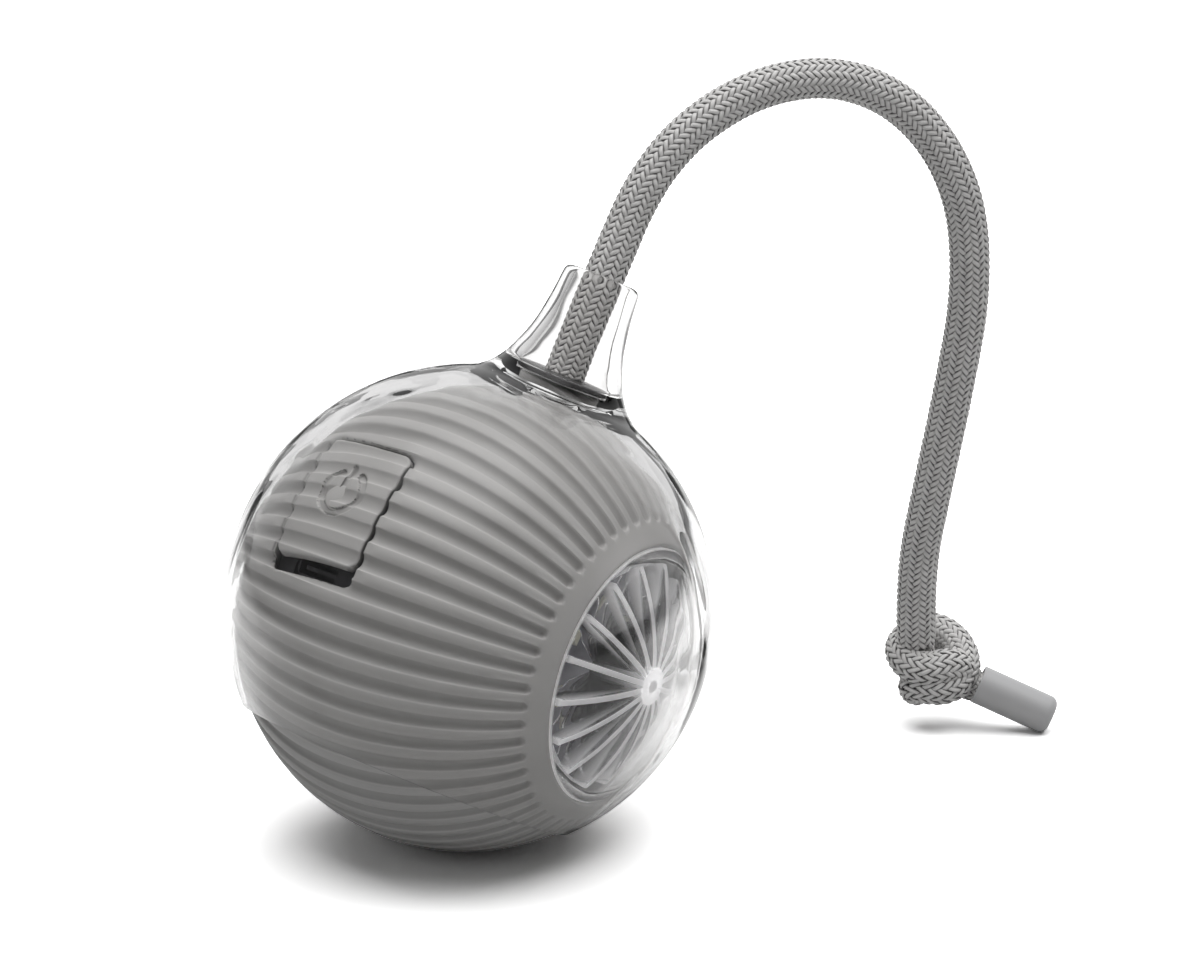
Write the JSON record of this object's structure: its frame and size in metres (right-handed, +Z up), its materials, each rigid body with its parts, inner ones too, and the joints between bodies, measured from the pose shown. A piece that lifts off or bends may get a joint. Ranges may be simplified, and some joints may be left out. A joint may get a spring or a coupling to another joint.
{
  "type": "self-rolling dog ball",
  "caption": "Motorised ribbed ball with clear lamp domes at its poles, in a soft clear necked cover with a knotted rope tail.",
  "frame": {"origin": "on the floor under the middle of the clear cover", "axes": "+Z up, +X to the right and +Y to the rear as the picture shows it, with the neck leaning right and rearwards"},
  "size_m": [0.1466, 0.105, 0.1296],
  "materials": {
    "tread_silicone": "matt mid grey silicone",
    "housing_plastic": "dark moulded ABS",
    "seal_rubber": "black rubber",
    "screw_steel": "zinc plated steel",
    "clear_plastic": "clear polycarbonate",
    "circuit_board": "dark solder resist",
    "led_lens": "pale LED package",
    "gear_plastic": "natural acetal",
    "motor_steel": "plain steel",
    "brass": "plain brass",
    "weight_steel": "plated steel weight",
    "battery_wrap": "foil pouch",
    "switch_plastic": "black plastic",
    "clear_cover": "clear soft elastomer",
    "disc_plastic": "dark moulded disc",
    "rope_fabric": "light grey braid",
    "sleeve_plastic": "satin grey plastic"
  },
  "bodies": {
    "cover": {"cover_shell": "clear_cover", "rope_anchor_disc": "disc_plastic", "rope": "rope_fabric", "rope_knot": "rope_fabric", "rope_end_sleeve": "sleeve_plastic"},
    "power_button": {"power_button": "tread_silicone", "switch_plunger": "switch_plastic"},
    "swing": {"swing_weight": "weight_steel", "output_shaft": "motor_steel", "output_gear": "gear_plastic", "retaining_rings": "motor_steel"},
    "cluster": {"cluster_gear": "gear_plastic"},
    "rotor": {"motor_pinion": "brass", "motor_shaft": "motor_steel"},
    "ball": {"tread_sleeve": "tread_silicone", "housing_left": "housing_plastic", "housing_right": "housing_plastic", "housing_seal": "seal_rubber", "housing_screws": "screw_steel", "frame_screws": "screw_steel", "tray_screws": "screw_steel", "motor_screws": "screw_steel", "board_screws": "screw_steel", "dome_left": "clear_plastic", "dome_right": "clear_plastic", "lens_left": "clear_plastic", "lens_right": "clear_plastic", "dome_seal_left": "seal_rubber", "dome_seal_right": "seal_rubber", "led_board_left": "circuit_board", "led_board_right": "circuit_board", "leds_left": "led_lens", "leds_right": "led_lens", "bulkhead_left": "housing_plastic", "bulkhead_right": "housing_plastic", "gear_frame": "gear_plastic", "drive_motor": "motor_steel", "cluster_pin": "motor_steel", "bush_left": "brass", "bush_right": "brass", "battery_tray": "gear_plastic", "battery_cell": "battery_wrap", "battery_clamp": "gear_plastic", "main_board": "circuit_board", "button_board": "circuit_board", "charge_board": "circuit_board", "tact_switch": "switch_plastic", "charge_socket": "motor_steel"}
  },
  "joints": [
    {"name": "ball_roll", "type": "hinge", "parent": "cover", "child": "ball", "pos_m": [-0.00064, -0.00049, 0.0398], "axis": [0.8277, -0.5478, -0.1219], "continuous": true},
    {"name": "power_press", "type": "slide", "parent": "ball", "child": "power_button", "axis": [0.3224, 0.6419, -0.6957], "range_m": [0, 0.0006], "stiffness_N_per_m": 400},
    {"name": "weight_swing", "type": "hinge", "parent": "ball", "child": "swing", "pos_m": [-0.00064, -0.00049, 0.0398], "axis": [0.8277, -0.5478, -0.1219], "continuous": true},
    {"name": "cluster_spin", "type": "hinge", "parent": "ball", "child": "cluster", "pos_m": [0.02184, 0.00091, 0.0385], "axis": [0.8277, -0.5478, -0.1219], "continuous": true},
    {"name": "motor_spin", "type": "hinge", "parent": "ball", "child": "rotor", "pos_m": [0.01826, 0.00112, 0.02632], "axis": [0.8277, -0.5478, -0.1219], "continuous": true}
  ],
  "couplings": [
    {"joint": "cluster_spin", "follows": "weight_swing", "ratio": -3.5},
    {"joint": "motor_spin", "follows": "weight_swing", "ratio": 14}
  ]
}
